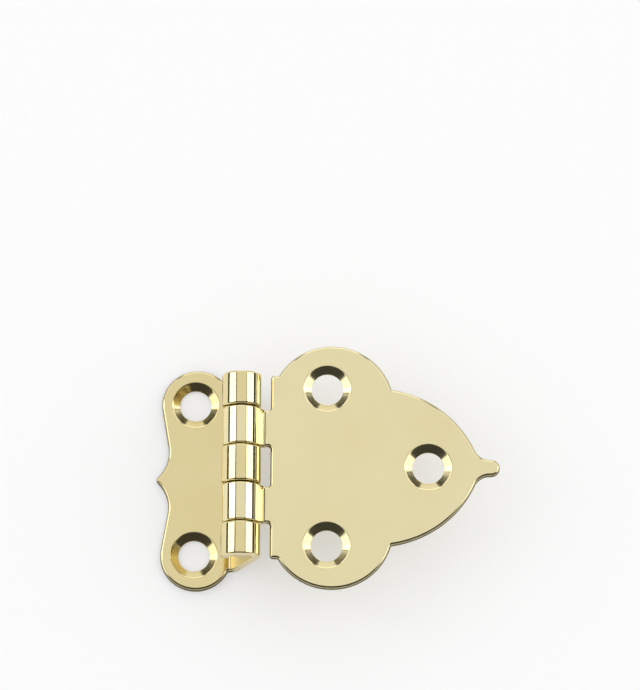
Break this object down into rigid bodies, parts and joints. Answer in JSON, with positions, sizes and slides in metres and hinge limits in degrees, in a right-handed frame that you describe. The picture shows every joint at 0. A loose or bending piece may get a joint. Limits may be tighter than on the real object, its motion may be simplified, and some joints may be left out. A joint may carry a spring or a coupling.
{
  "type": "offset cabinet hinge",
  "caption": "Offset cabinet hinge: cranked half-butterfly frame leaf and trefoil door leaf with countersunk screw holes, their rolled knuckles turning on one pin.",
  "frame": {"origin": "middle of the frame leaf's screw line, on its back face", "axes": "+X across the pin towards the door leaf, +Y along the pin, +Z out of the cabinet's face"},
  "size_m": [0.0532, 0.0384, 0.0139],
  "materials": {
    "frame_brass": "polished, clear lacquer",
    "door_brass": "polished, clear lacquer",
    "pin_brass": "drawn, lightly tarnished"
  },
  "bodies": {
    "frame": {"frame_leaf": "frame_brass", "hinge_pin": "pin_brass"},
    "door": {"door_leaf": "door_brass"}
  },
  "joints": [
    {"name": "door_swing", "type": "hinge", "parent": "frame", "child": "door", "pos_m": [0.00735, 0, 0.01082], "axis": [0, -1, 0], "range_deg": [0, 180]}
  ]
}
